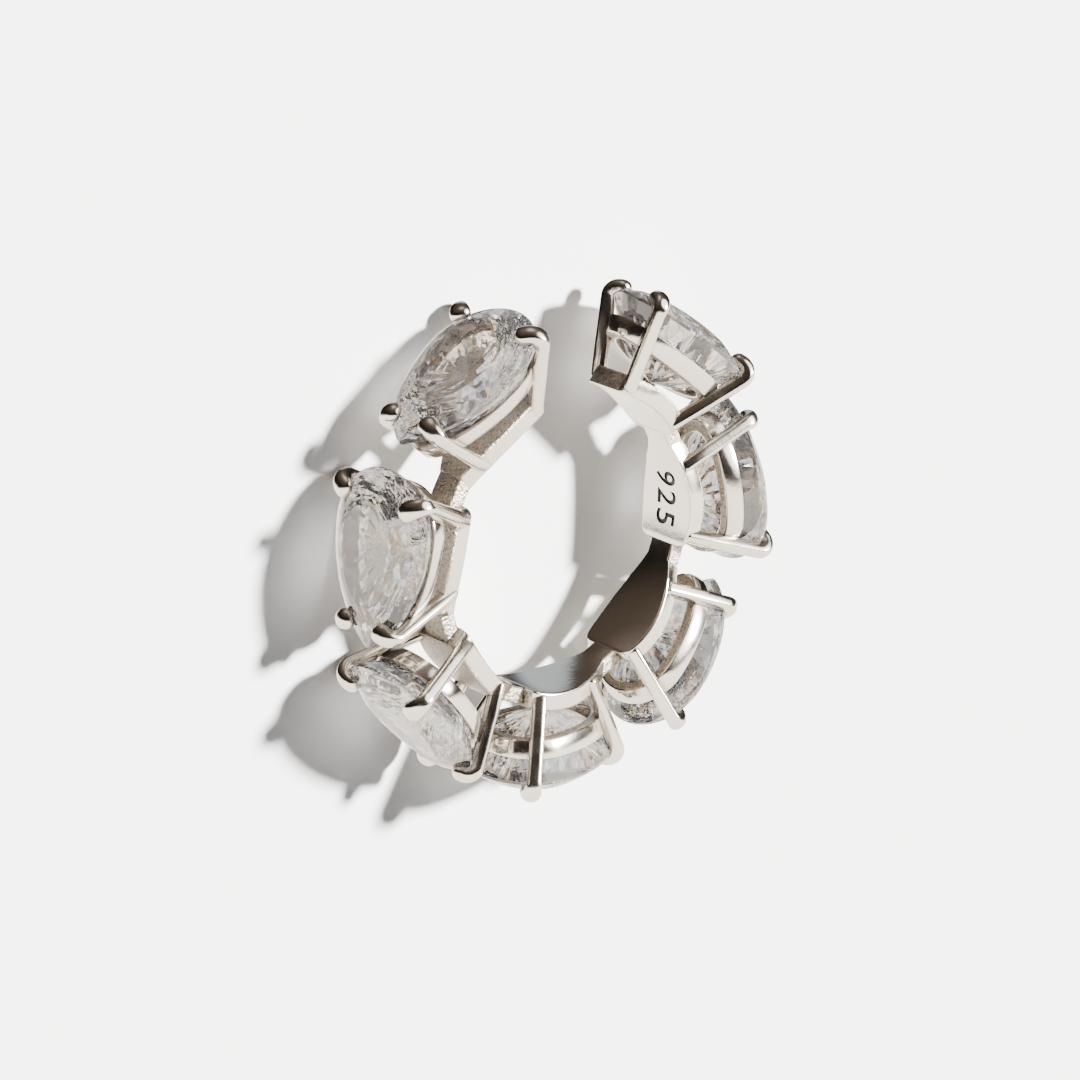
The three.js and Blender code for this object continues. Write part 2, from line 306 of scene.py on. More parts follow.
def pear(turn, inset=0.0, pull=POINT_PULL, blunt=POINT_BLUNT):
    """T and Z of the outline; turn runs from the point (0) round the round end (0.5) and back (1)."""
    half_width = STONE_HALF_WIDTH - inset
    point = POINT_T - pull * inset
    side = 1 if turn <= 0.5 else -1
    u = 2 * (turn if turn <= 0.5 else 1 - turn)
    if u < FLANK_SHARE:
        t = point + (ROUND_CENTRE - point) * (u / FLANK_SHARE) ** FLANK_CROWDING
        return t, side * flank(t, half_width, point, blunt)
    angle = math.pi / 2 * (1 - (u - FLANK_SHARE) / (1 - FLANK_SHARE))
    return ROUND_CENTRE - half_width * math.cos(angle), side * half_width * math.sin(angle)


print("pear at its widest:", [round(value, 3) for value in pear(FLANK_SHARE / 2)])

# %% [markdown]
# ## The band
# The inner face is one true cylinder. Under each stone the band swells into a pear-shaped plate, and
# between stones it narrows to a short bridge. One section with rounded corners is carried along
# the arc, and only its width and thickness change, so the whole band is a single closed skin. The
# plate's outline comes first: a smooth curve through a few widths.

# %% Plate outline
PLATE_START, PLATE_LENGTH, PLATE_HALF_WIDTH = -1.6, 3.7, 1.19
PLATE_SHARES = (
    (0, 0.62), (0.02, 0.81), (0.065, 0.9), (0.19, 0.975), (0.35, 1),
    (0.51, 0.96), (0.675, 0.84), (0.785, 0.73), (0.89, 0.59), (1, 0.445),
)
PLATE_PROFILE = [
    (PLATE_START + along * PLATE_LENGTH, half * PLATE_HALF_WIDTH) for along, half in PLATE_SHARES
]


def plate_width(t):
    """Half width of the plate: a smooth curve through the profile."""
    stops = PLATE_PROFILE
    for k in range(len(stops) - 1):
        if t <= stops[k + 1][0]:
            break
    (t0, w0), (t1, w1) = stops[k], stops[k + 1]
    before = stops[max(k - 1, 0)]
    after = stops[min(k + 2, len(stops) - 1)]
    u = (t - t0) / (t1 - t0)
    slope0 = (w1 - before[1]) / max(t1 - before[0], 1e-6) * (t1 - t0)
    slope1 = (after[1] - w0) / max(after[0] - t0, 1e-6) * (t1 - t0)
    return (
        (2 * u ** 3 - 3 * u ** 2 + 1) * w0 + (u ** 3 - 2 * u ** 2 + u) * slope0
        + (-2 * u ** 3 + 3 * u ** 2) * w1 + (u ** 3 - u ** 2) * slope1
    )


print("plate half width in its middle:", round(plate_width(PLATE_START + PLATE_LENGTH / 2), 3))

# %% [markdown]
# The section is a rounded rectangle that stands between two points of the ring plane, one on the
# inner face and one on the outer. Its corners could be rounded afterwards with a Bevel, but drawn in
# the section they keep the same number of points all round, which a loft needs.

# %% Band section
EDGE_ROUND = 0.085
EDGE_ROUND_LEAST = 0.004
EDGE_STEPS = 3


def band_section(inner, outer, half_width, inset=0.0):
    """Rounded rectangle; corner order: inner near, outer near, outer far, inner far."""
    across = outer - inner
    depth = across.length
    across.normalize()
    bend = max(EDGE_ROUND - inset, EDGE_ROUND_LEAST)
    corners = (
        (inset + bend, half_width - inset - bend, 90, 180),
        (depth - inset - bend, half_width - inset - bend, 90, 0),
        (depth - inset - bend, -half_width + inset + bend, 0, -90),
        (inset + bend, -half_width + inset + bend, -90, -180),
    )
    ring = []
    for number, (d, z, start, stop) in enumerate(corners):
        order = (stop, start) if number == 0 else (start, stop)
        for k in range(EDGE_STEPS + 1):
            angle = math.radians(order[0] + (order[1] - order[0]) * k / EDGE_STEPS)
            spot = inner + across * (d + bend * math.cos(angle))
            ring.append(Vector((spot.x, spot.y, z + bend * math.sin(angle))))
    return ring


def at_angle(radius, degrees):
    """A point of the ring plane."""
    angle = math.radians(degrees)
    return Vector((radius * math.cos(angle), radius * math.sin(angle), 0))


def plate_angle(radius, t):
    """Degrees round the ring from a stone's middle to t, at the given radius."""
    return math.degrees(math.asin(t / radius))


print("points in a section:", 4 * (EDGE_STEPS + 1))

# %% [markdown]
# Plates and bridges follow each other from one end of the band to the other. Both ends close with two
# smaller sections, which round their edges as a file would. The bridges, the outer faces and the two
# ends take the rough cast finish, painted darker as shade, and the inner face and the plates' rims are
# polished.

# %% Band
PLATE_STEP = 0.07
BRIDGE_STEPS = 6
BRIDGE_LEAVES, BRIDGE_ARRIVES = 0.02, -0.005
GAP_END_T = PLATE_START + 0.87 * PLATE_LENGTH
END_SECTIONS = ((0.0, 0.05), (0.02, 0.02))
SHARP_ANGLE = 32


def band_rings():
    """Sections along the whole band, each with True where it belongs to a bridge."""
    rings = []

    def plate_ring(stone, t, half_width, inset=0.0):
        middle = FIRST_STONE + stone * STONE_STEP
        inner = at_angle(INNER_RADIUS, middle + plate_angle(INNER_RADIUS, t))
        outer = at_angle(PLATE_OUTER, middle + plate_angle(PLATE_OUTER, t))
        rings.append((band_section(inner, outer, half_width, inset), False))

    for stone in range(STONE_COUNT):
        first, last = stone == 0, stone == STONE_COUNT - 1
        start = PLATE_PROFILE[0][0]
        stop = GAP_END_T if last else PLATE_PROFILE[-1][0]
        if first:
            for gone, inset in END_SECTIONS:
                plate_ring(stone, start + gone, plate_width(start), inset)
        steps = int((stop - start) / PLATE_STEP)
        for k in range(steps + 1):
            t = start + (stop - start) * k / steps
            if first and k == 0 or last and k == steps:
                continue
            plate_ring(stone, t, max(plate_width(t), BRIDGE_HALF_WIDTH))
        if last:
            for gone, inset in reversed(END_SECTIONS):
                plate_ring(stone, stop - gone, plate_width(stop), inset)
            break
        middle = FIRST_STONE + stone * STONE_STEP
        for k in range(BRIDGE_STEPS + 1):
            spots = []
            for radius in (INNER_RADIUS, BRIDGE_OUTER):
                leave = middle + plate_angle(radius, stop + BRIDGE_LEAVES)
                arrive = middle + STONE_STEP + plate_angle(radius, start + BRIDGE_ARRIVES)
                spots.append(at_angle(radius, leave + (arrive - leave) * (k / BRIDGE_STEPS)))
            rings.append((band_section(spots[0], spots[1], BRIDGE_HALF_WIDTH), True))
    return rings


def make_band():
    """The band as one closed skin, each face with its finish."""
    rings = band_rings()
    points, faces = loft([ring for ring, _ in rings])
    count = len(rings[0][0])
    slots = []
    for k in range(len(rings) - 1):
        bridge = rings[k][1] or rings[k + 1][1]
        for i in range(count):
            inner_face = i == count - 1 or i < EDGE_STEPS or i > count - 2 - EDGE_STEPS
            outer_face = EDGE_STEPS < i < 3 * EDGE_STEPS + 2
            # Bridges, outer faces and ends take the cast finish, its colour painted darker as shade.
            slots.append(CAST_WITH_PAINTED_SHADE if not inner_face and (bridge or outer_face) else POLISHED)
    slots += [CAST_WITH_PAINTED_SHADE, CAST_WITH_PAINTED_SHADE]
    band = new_piece("silver_band", [point * MM + RING_CENTRE for point in points], faces, slots)
    for material in SILVERS:
        band.data.materials.append(material)
    shade(band, SHARP_ANGLE)
    return band


band = make_band()
print("band faces:", len(band.data.polygons))

# %% [markdown]
# ## The fineness mark
# Silver is stamped 925, its parts in a thousand. The mark is cut into the inner face under the sixth
# stone with a Boolean, so it has real depth, and the cut takes the blackened finish. The edges are
# sorted into sharp and smooth again after the cut, or the new faces would blur into their neighbours.

# %% Fineness mark
MARK = "925"
MARK_STONE = 5
MARK_HEIGHT = 0.86
MARK_PITCH = 0.74
MARK_START = 0.68
MARK_DEPTH = 0.05
MARK_BOLD = 0.017
MARK_CUTTER_HALF = 0.09
MARK_RESOLUTION = 4
MARK_WELD = 0.0005
DIGIT_SHARE = 0.7


def mark_cutter():
    """A block for each digit, laid flat against the cylinder at its own angle."""
    cutter = bmesh.new()
    for number, digit in enumerate(MARK):
        curve = bpy.data.curves.new("digit", "FONT")
        curve.body = digit
        curve.align_x = "CENTER"
        curve.size = MARK_HEIGHT / DIGIT_SHARE
        curve.extrude = MARK_CUTTER_HALF
        curve.offset = MARK_BOLD
        curve.resolution_u = MARK_RESOLUTION
        glyph = bpy.data.objects.new("digit", curve)
        bpy.context.collection.objects.link(glyph)
        mesh = bpy.data.meshes.new_from_object(glyph)
        discard(glyph)
        t = MARK_START - MARK_PITCH * number
        degrees = FIRST_STONE + MARK_STONE * STONE_STEP + plate_angle(INNER_RADIUS, t)
        radius = INNER_RADIUS + MARK_DEPTH - MARK_CUTTER_HALF
        spot = at_angle(radius, degrees) + Vector((0, 0, -MARK_HEIGHT / 2))
        outward = at_angle(1.0, degrees)
        along = Vector((outward.y, -outward.x, 0))
        turn = Matrix((along, Vector((0, 0, 1)), -outward)).transposed().to_4x4()
        mesh.transform(Matrix.Translation(spot) @ turn)
        cutter.from_mesh(mesh)
        bpy.data.meshes.remove(mesh)
    bmesh.ops.remove_doubles(cutter, verts=cutter.verts, dist=MARK_WELD)
    bmesh.ops.scale(cutter, vec=(MM, MM, MM), verts=cutter.verts)
    bmesh.ops.translate(cutter, vec=RING_CENTRE, verts=cutter.verts)
    mesh = bpy.data.meshes.new("mark_cutter")
    cutter.to_mesh(mesh)
    cutter.free()
    piece = bpy.data.objects.new("mark_cutter", mesh)
    bpy.context.collection.objects.link(piece)
    for material in SILVERS:
        mesh.materials.append(material)
    for face in mesh.polygons:
        face.material_index = BLACKENED
    return piece


def cut(piece, cutter, own_overlaps=False):
    """Cuts the cutter out of the piece; own_overlaps also joins the piece's own shells."""
    tool = piece.modifiers.new("cut", "BOOLEAN")
    tool.operation = "DIFFERENCE"
    tool.solver = "EXACT"
    tool.use_self = own_overlaps
    tool.object = cutter
    bake_modifiers(piece)
    discard(cutter)


cut(band, mark_cutter())
shade(band, SHARP_ANGLE)
print("band faces with the mark:", len(band.data.polygons))

# %% [markdown]
# ## The stones
# These are crushed-ice cuts: a flat table, and below it many rows of little facets instead of a few
# long ones, which is why a face-on stone glitters all over. Each row has its corners halfway between
# those of the row before. Below the girdle each corner is also lifted or sunk a little, and more so
# toward the culet, so that no two neighbours tilt alike. Eight large facets close the culet.

# %% Rows of the cut
CUT_SIDES = 48
CROWN_ROWS = ((0.9, 0.3), (0.78, 0.62), (0.66, 0.87), (TABLE_SCALE, 1.0))
PAVILION_ROWS = (
    (0.89, 0.19), (0.78, 0.36), (0.67, 0.51), (0.57, 0.63), (0.46, 0.74), (0.3, 0.86),
)
CULET_FACETS = 8
RELIEF = 0.042
RELIEF_WAVES = ((2.4, 37.0), (4.1, -90.0))
RELIEF_CALM = 1.4


def stone_row(scale, r, shift, grow, relief=0.0):
    """Corners of one row, each lifted or sunk a little, in a pattern that doesn't repeat soon."""
    row = []
    for k in range(CUT_SIDES):
        t, z = pear(((k + shift) / CUT_SIDES) % 1.0, -grow)
        wave = sum(math.sin(step * k + start * scale) for step, start in RELIEF_WAVES)
        lift = relief * wave / RELIEF_CALM
        row.append(seat(r + lift, CULET_T + (t - CULET_T) * scale, z * scale))
    return row


def culet_row(scale, r, grow):
    """A row with straight sides, so that each facet from here to the culet is large and flat."""
    share = CUT_SIDES // CULET_FACETS
    corners = [
        seat(r, CULET_T + (t - CULET_T) * scale, z * scale)
        for t, z in (pear(k / CULET_FACETS, -grow) for k in range(CULET_FACETS))
    ]
    return [
        corners[k // share].lerp(corners[(k // share + 1) % CULET_FACETS], k % share / share)
        for k in range(CUT_SIDES)
    ]


print("rows of facets:", len(CROWN_ROWS), "above the girdle and", len(PAVILION_ROWS), "below it")

# %% [markdown]
# Between two rows lies a belt of triangles, which changes its lean from row to row. The girdle is the
# one smooth curve of the stone, so each of its edges is drawn as a short arc. The same function also
# draws a stone that is grown on all sides, which the setter's cut needs later.

# %% Facets
GIRDLE_ARC = 2
GROW_GIRDLE, GROW_CULET = 0.5, 1.3
RELIEF_RISE = 1.5


def stone_faces(grow=0.0):
    """List of facets, each a list of corners, in the stone's own frame."""
    high = GIRDLE_R + GIRDLE_HALF + grow * GROW_GIRDLE
    low = GIRDLE_R - GIRDLE_HALF - grow * GROW_GIRDLE
    crown_height = TABLE_R + grow - high
    depth = low - (CULET_R - grow * GROW_CULET)
    culet = seat(low - depth, CULET_T, 0)
    count = CUT_SIDES
    faces = []

    def girdle_arc(k, r):
        """The girdle's corners at height r over side k."""
        return [
            seat(r, *pear(((k + n / GIRDLE_ARC) / count) % 1.0, -grow)) for n in range(GIRDLE_ARC + 1)
        ]

    def rise(rows, start_r, way, span, relief):
        """Rows of triangles from the girdle inward; gives back the last row."""
        scale, share = rows[0]
        shift = 0.5
        row = stone_row(scale, start_r + way * span * share, shift, grow, relief * share)
        for k in range(count):
            faces.append([row[k]] + girdle_arc(k, start_r))
            faces.append([row[k], row[(k + 1) % count], girdle_arc((k + 1) % count, start_r)[0]])
        for scale, share in rows[1:]:
            inner_shift = 0.5 - shift
            lift = 0.0 if share == 1.0 else relief * min(1.0, share * RELIEF_RISE)
            inner = stone_row(scale, start_r + way * span * share, inner_shift, grow, lift)
            if way < 0 and (scale, share) == rows[-1]:
                inner, inner_shift = culet_row(scale, start_r + way * span * share, grow), 0.0
            for k in range(count):
                after = (k + 1) % count
                if inner_shift > shift:
                    faces.append([inner[k], row[k], row[after]])
                    faces.append([inner[k], inner[after], row[after]])
                else:
                    faces.append([inner[after], row[k], row[after]])
                    faces.append([inner[k], inner[after], row[k]])
            row, shift = inner, inner_shift
        return row

    faces.append(rise(CROWN_ROWS, high, 1, crown_height, 0.0))
    last = rise(PAVILION_ROWS, low, -1, depth, RELIEF)
    share = count // CULET_FACETS
    for k in range(CULET_FACETS):
        faces.append([culet] + [last[(k * share + n) % count] for n in range(share + 1)])
    for k in range(count):
        tops, feet = girdle_arc(k, high), girdle_arc(k, low)
        for n in range(GIRDLE_ARC):
            faces.append([tops[n], feet[n], feet[n + 1], tops[n + 1]])
    return faces


print("facets listed:", len(stone_faces()))

# %% [markdown]
# The facets are drawn one by one, so their shared corners are welded. The skin is closed when each
# edge has two facets, and the next cell prints how many don't. A stone's facets are truly flat, so
# they aren't shaded smooth.

# %% One stone
STONE_WELD = 0.0002


def stone_piece(name, grow=0.0):
    """A stone as a closed mesh."""
    points, faces = [], []
    for corners in stone_faces(grow):
        faces.append(tuple(range(len(points), len(points) + len(corners))))
        points += corners
    piece = new_piece(name, points, faces)
    form = bmesh.new()
    form.from_mesh(piece.data)
    bmesh.ops.remove_doubles(form, verts=form.verts, dist=STONE_WELD)
    open_edges = [edge for edge in form.edges if len(edge.link_faces) != 2]
    print(name, "facets:", len(form.faces), "open edges:", len(open_edges))
    form.to_mesh(piece.data)
    form.free()
    shade(piece, 0)
    return piece


one_stone = stone_piece("one_stone")

# %% [markdown]
# ## Clear stone
# The material is clear glass of a high index. A trace of white takes the place of the many fine
# reflections that a real stone scatters, and small patches of warm and cool colour make its fire.

# %% Clear stone
STONE_INDEX = 1.78
CLARITY = 0.975
FIRE_SIZE = 0.4
FIRE = (
    (0.0, (1.0, 0.82, 0.62)), (0.13, (0.985, 0.978, 0.962)),
    (0.87, (0.985, 0.978, 0.962)), (1.0, (0.72, 0.83, 1.0)),
)


def clear_stone():
    """Glass with a colour of its own in each cell of a pattern."""
    material = bpy.data.materials.new("clear_stone")
    material.use_nodes = True
    tree = material.node_tree
    shader = tree.nodes["Principled BSDF"]
    place = node(tree, "ShaderNodeTexCoord")
    cells = node(tree, "ShaderNodeTexVoronoi", Scale=1.0 / (FIRE_SIZE * MM))
    tree.links.new(place.outputs["Object"], cells.inputs["Vector"])
    pick = node(tree, "ShaderNodeSeparateColor")
    tree.links.new(cells.outputs["Color"], pick.inputs["Color"])
    fire = colour_ramp(tree, pick.outputs["Red"], FIRE)
    tree.links.new(fire, shader.inputs["Base Color"])
    shader.inputs["Roughness"].default_value = 0.0
    shader.inputs["IOR"].default_value = STONE_INDEX
    shader.inputs["Transmission Weight"].default_value = CLARITY
    return material


crystal = clear_stone()
print("index of the stones:", STONE_INDEX)

# %% [markdown]
# ## The gallery rail
# A basket is a pear-shaped gallery rail and four claws. The rail stands on edge round the stone's
# lower half, wider at its top than at its foot, because it follows the slope of the stone. Its
# section has softened corners. The inner wall and the underside can't be reached by a buff, so they
# stay rough as cast, and their colour is painted darker as shade, since they face away from the light.

# %% Rail
RAIL_HIGH = GIRDLE_R - 0.7
RAIL_LOW = RAIL_HIGH - 0.62
RAIL_INSET_LOW, RAIL_INSET_HIGH = 0.58, 0.38
RAIL_WALL = 0.4
RAIL_POINT, RAIL_POINT_INNER, RAIL_BLUNT = 0.95, 1.1, 0.8
RAIL_STEPS = 72
RAIL_EDGE = 0.07
RAIL_EDGE_BELLY = 0.3
RAIL_CORNERS = 12
# The inner wall and the underside take the cast finish, its colour painted darker as shade.
RAIL_PAINTED_SHADE_SIDES = (8, 11)


def make_rail():
    """Points, faces and finishes of a rail, in the stone's own frame."""
    rings = []
    for k in range(RAIL_STEPS):
        turn = k / RAIL_STEPS

        def spot(share, wall):
            """share runs from the low edge to the high one, wall from the outer face to the inner."""
            inset = RAIL_INSET_LOW + (RAIL_INSET_HIGH - RAIL_INSET_LOW) * share + RAIL_WALL * wall
            pull = RAIL_POINT + (RAIL_POINT_INNER - RAIL_POINT) * wall
            r = RAIL_LOW + (RAIL_HIGH - RAIL_LOW) * share
            return seat(r, *pear(turn, inset, pull, RAIL_BLUNT))

        up, wall = RAIL_EDGE / (RAIL_HIGH - RAIL_LOW), RAIL_EDGE / RAIL_WALL
        low_up, low_wall = up * RAIL_EDGE_BELLY, wall * RAIL_EDGE_BELLY
        rings.append([
            spot(0, wall), spot(low_up, low_wall), spot(up, 0),
            spot(1 - up, 0), spot(1 - low_up, low_wall), spot(1, wall),
            spot(1, 1 - wall), spot(1 - low_up, 1 - low_wall), spot(1 - up, 1),
            spot(up, 1), spot(low_up, 1 - low_wall), spot(0, 1 - wall),
        ])
    points, faces = loft(rings, closed=True)
    finishes = [
        CAST_WITH_PAINTED_SHADE if k % RAIL_CORNERS in RAIL_PAINTED_SHADE_SIDES else POLISHED for k in range(len(faces))
    ]
    return points, faces, finishes


rail_parts = make_rail()
print("faces of a rail:", len(rail_parts[1]))

# %% [markdown]
# ## The claws
# Each claw is a squared bar that leans out from the band, turns over the girdle and ends in a wider,
# rounded tip on the crown. It is one loft of sections along a bent path: the straight run, the turn,
# and then a dome. The sections go from squared to round as the path turns.

# %% Claws
CLAW_WIDTH, CLAW_DEPTH = 0.5, 0.51
CLAW_STAND = 0.17
CLAW_SINK = 0.03
CLAW_SHOULDER_DROP = 0.13
CLAW_RUN = ((0, 0.88), (0.012, 0.96), (0.03, 1.0), (0.35, 1.0), (0.7, 1.0), (1.0, 1.0))
CLAW_TURN_RADIUS = 0.36
CLAW_TURN_STEPS = 12
CLAW_TURN_SHARE = 0.96
CLAW_TIP_LENGTH = 0.3
CLAW_TIP_WIDE, CLAW_TIP_DEEP = 1.44, 1.14
CLAW_TIP_STEPS, CLAW_TIP_END = 8, 8.2
STRAIGHT_LEAST = 0.01
BAR_SQUARE, BAR_ROUND = 3.6, 2.0
BAR_ROUNDS_BY = 0.8
BAR_CORNERS = 24
CLAWS = (
    {"foot": (0.1, 0.757), "turn": 0.367, "facing": 126, "reach": 0.72},
    {"foot": (0.768, 0.622), "turn": 0.0806, "facing": 60, "reach": 0.64},
)


def bar_ring(centre, depth_way, width_way, width, depth, square):
    """Section of a bar: a circle where square is 2, and nearer to a rectangle above that."""
    ring = []
    for i in range(BAR_CORNERS):
        angle = 2 * math.pi * (i + 0.5) / BAR_CORNERS
        c, s = math.cos(angle), math.sin(angle)
        grow = (abs(c) ** square + abs(s) ** square) ** (-1 / square)
        ring.append(centre + width_way * (c * grow * width / 2) + depth_way * (s * grow * depth / 2))
    return ring


def make_claw(claw, side):
    """Points, faces and finishes of one claw; side is 1 or -1, for one flank or the other."""
    facing = math.radians(claw["facing"])
    out = Vector((0, math.cos(facing), math.sin(facing) * side))
    along, half = claw["foot"]
    foot_t = PLATE_START + along * PLATE_LENGTH
    foot = seat(INNER_RADIUS + CLAW_SINK, foot_t, half * PLATE_HALF_WIDTH * side)
    girdle_t, girdle_z = pear(claw["turn"])
    shoulder = seat(GIRDLE_R - CLAW_SHOULDER_DROP, girdle_t, girdle_z * side) + out * CLAW_STAND
    rise = (shoulder - foot).normalized()
    inward = -out
    across = out.cross(Vector((1, 0, 0))).normalized()
    rings = []

    def station(spot, way, width, depth, square):
        """Adds the section that stands across the path at spot."""
        depth_way = across.cross(way).normalized()
        rings.append(bar_ring(spot, depth_way, across, width, depth, square))

    for share, width in CLAW_RUN:
        station(foot.lerp(shoulder, share), rise, CLAW_WIDTH * width, CLAW_DEPTH * width, BAR_SQUARE)
    spot = shoulder.copy()
    full_turn = rise.angle(inward) * CLAW_TURN_SHARE
    axis = rise.cross(inward).normalized()
    for k in range(1, CLAW_TURN_STEPS + 1):
        share = k / CLAW_TURN_STEPS
        middle = Matrix.Rotation(full_turn * (k - 0.5) / CLAW_TURN_STEPS, 3, axis) @ rise
        spot = spot + middle * (CLAW_TURN_RADIUS * full_turn / CLAW_TURN_STEPS)
        way = Matrix.Rotation(full_turn * share, 3, axis) @ rise
        square = BAR_SQUARE + (BAR_ROUND - BAR_SQUARE) * min(1.0, share / BAR_ROUNDS_BY)
        wide, deep = 1 + (CLAW_TIP_WIDE - 1) * share, 1 + (CLAW_TIP_DEEP - 1) * share
        station(spot, way, CLAW_WIDTH * wide, CLAW_DEPTH * deep, square)
    gone = (spot - shoulder).dot(inward)
    straight = max(claw["reach"] - gone - CLAW_TIP_LENGTH, STRAIGHT_LEAST)
    spot = spot + way * straight
    tip_width, tip_depth = CLAW_WIDTH * CLAW_TIP_WIDE, CLAW_DEPTH * CLAW_TIP_DEEP
    station(spot, way, tip_width, tip_depth, BAR_ROUND)
    for k in range(1, CLAW_TIP_STEPS + 1):
        angle = math.radians(90 * k / CLAW_TIP_END)
        size = math.cos(angle)
        tip = spot + way * (CLAW_TIP_LENGTH * math.sin(angle))
        station(tip, way, tip_width * size, tip_depth * size, BAR_ROUND)
    points, faces = loft(rings)
    return points, faces, [POLISHED] * len(faces)


claw_parts = [make_claw(claw, side) for claw in CLAWS for side in (1, -1)]
print("faces of each claw:", [len(part[1]) for part in claw_parts])

# %% [markdown]
# ## One basket
# The rail and the claws overlap where they would be soldered. The seat is cut with a stone that is
# grown a little, as a setter cuts a notch for the girdle, and the same Boolean joins the overlapping
# shells into one.

# %% Basket
SEAT_CLEARANCE = 0.02


def make_basket():
    """The rail and four claws as one piece, with the seat cut."""
    points, faces, slots = [], [], []
    for part_points, part_faces, part_slots in [rail_parts] + claw_parts:
        start = len(points)
        points += part_points
        faces += [tuple(start + corner for corner in face) for face in part_faces]
        slots += part_slots
    basket = new_piece("one_basket", points, faces, slots)
    for material in (polished, cast_with_painted_shade):
        basket.data.materials.append(material)
    shade(basket, SHARP_ANGLE)
    cut(basket, stone_piece("seat_cutter", SEAT_CLEARANCE), own_overlaps=True)
    shade(basket, SHARP_ANGLE)
    return basket


one_basket = make_basket()
basket_slots = [face.material_index for face in one_basket.data.polygons]
print("faces of one basket:", len(one_basket.data.polygons))

# %% [markdown]
# ## Round the ring with Geometry Nodes
# The same basket and the same stone repeat seven times, a fixed angle apart. A loop could copy them,
# but a node tree says the rule once and serves both: a line of points that all lie at the ring's
# centre, one instance on each, and each instance turned by its number.

# %% Tree for the ring
def ring_tree():
    """The tree, with named inputs for the piece, the count, the angles, the scale and the finish."""
    tree = bpy.data.node_groups.new("pieces_round_ring", "GeometryNodeTree")
    face = tree.interface
    for name, kind in (
        ("Piece", "NodeSocketObject"), ("Count", "NodeSocketInt"), ("First Angle", "NodeSocketFloat"),
        ("Step Angle", "NodeSocketFloat"), ("Scale", "NodeSocketFloat"), ("Centre", "NodeSocketVector"),
        ("Finish", "NodeSocketMaterial"),
    ):
        face.new_socket(name, in_out="INPUT", socket_type=kind)
    face.new_socket("Geometry", in_out="OUTPUT", socket_type="NodeSocketGeometry")
    links = tree.links
    given = tree.nodes.new("NodeGroupInput")
    result = tree.nodes.new("NodeGroupOutput")
    line = tree.nodes.new("GeometryNodeMeshLine")
    line.inputs["Offset"].default_value = (0, 0, 0)
    links.new(given.outputs["Count"], line.inputs["Count"])
    links.new(given.outputs["Centre"], line.inputs["Start Location"])
    source = tree.nodes.new("GeometryNodeObjectInfo")
    links.new(given.outputs["Piece"], source.inputs["Object"])
    number = tree.nodes.new("GeometryNodeInputIndex")
    angle = tree.nodes.new("ShaderNodeMath")
    angle.operation = "MULTIPLY_ADD"
    links.new(number.outputs["Index"], angle.inputs[0])
    links.new(given.outputs["Step Angle"], angle.inputs[1])
    links.new(given.outputs["First Angle"], angle.inputs[2])
    turn = tree.nodes.new("ShaderNodeCombineXYZ")
    links.new(angle.outputs["Value"], turn.inputs["Z"])
    place = tree.nodes.new("GeometryNodeInstanceOnPoints")
    links.new(line.outputs["Mesh"], place.inputs["Points"])
    links.new(source.outputs["Geometry"], place.inputs["Instance"])
    links.new(turn.outputs["Vector"], place.inputs["Rotation"])
    links.new(given.outputs["Scale"], place.inputs["Scale"])
    realize = tree.nodes.new("GeometryNodeRealizeInstances")
    links.new(place.outputs["Instances"], realize.inputs["Geometry"])
    finish = tree.nodes.new("GeometryNodeSetMaterial")
    links.new(realize.outputs["Geometry"], finish.inputs["Geometry"])
    links.new(given.outputs["Finish"], finish.inputs["Material"])
    links.new(finish.outputs["Geometry"], result.inputs["Geometry"])
    return tree


tree = ring_tree()
print("inputs of the tree:", [item.name for item in tree.interface.items_tree if item.in_out == "INPUT"])

# %% [markdown]
# The copies are turned into one plain mesh before anything else is done with them. The node tree gives
# every face one finish, so the baskets' cast faces, painted darker as shade, are named again afterwards,
# in the same order for each of the seven.

# %% Seven baskets and seven stones
def round_ring(name, piece, finish):
    """Seven copies of the piece as one mesh at the origin."""
    holder = new_piece(name, [], [])
    tool = holder.modifiers.new("round_ring", "NODES")
    tool.node_group = tree
    values = {
        "Piece": piece, "Count": STONE_COUNT, "First Angle": math.radians(FIRST_STONE),
        "Step Angle": math.radians(STONE_STEP), "Scale": MM, "Centre": tuple(RING_CENTRE),
        "Finish": finish,
    }
    for socket in tree.interface.items_tree:
        if socket.in_out == "INPUT":
            tool[socket.identifier] = values[socket.name]
    bake_modifiers(holder)
    discard(piece)
    return holder


baskets = round_ring("silver_baskets", one_basket, polished)
stones = round_ring("pear_stones", one_stone, crystal)
# The cast faces, painted darker as shade, get their finish back.
baskets.data.materials.append(cast_with_painted_shade)
baskets.data.polygons.foreach_set("material_index", basket_slots * STONE_COUNT)
print("basket faces:", len(baskets.data.polygons), "stone faces:", len(stones.data.polygons))

# %% [markdown]
# ## Riding on the part
# The cuff is rigid, so every piece rides on the one body. The band and baskets stand for the
# frame's solid, and the stones for the seven stone solids.

# %% Ride and replace
for piece in (band, baskets, stones):
    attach(piece, "root")
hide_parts("cuff_frame")
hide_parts("cuff_frame")
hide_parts(*[f"stone_{number + 1}" for number in range(STONE_COUNT)])
print("pieces on the body:", [piece.name for piece in (band, baskets, stones)])

# %% [markdown]
# ## Camera
# The camera stands where the photograph was taken from, seen from the cuff: well above the floor,
# because the cuff lies on its side here, and rolled so that the gap points up in the picture.

# %% Camera
VIEW_AZIMUTH, VIEW_RISE, VIEW_ROLL = 154.32, 42.73, -111.54
VIEW_DISTANCE = 124.4
LENS, SENSOR = 123.7, 36
CLIP = (0.005, 10)
SHIFT = (-0.0154, -0.0046)


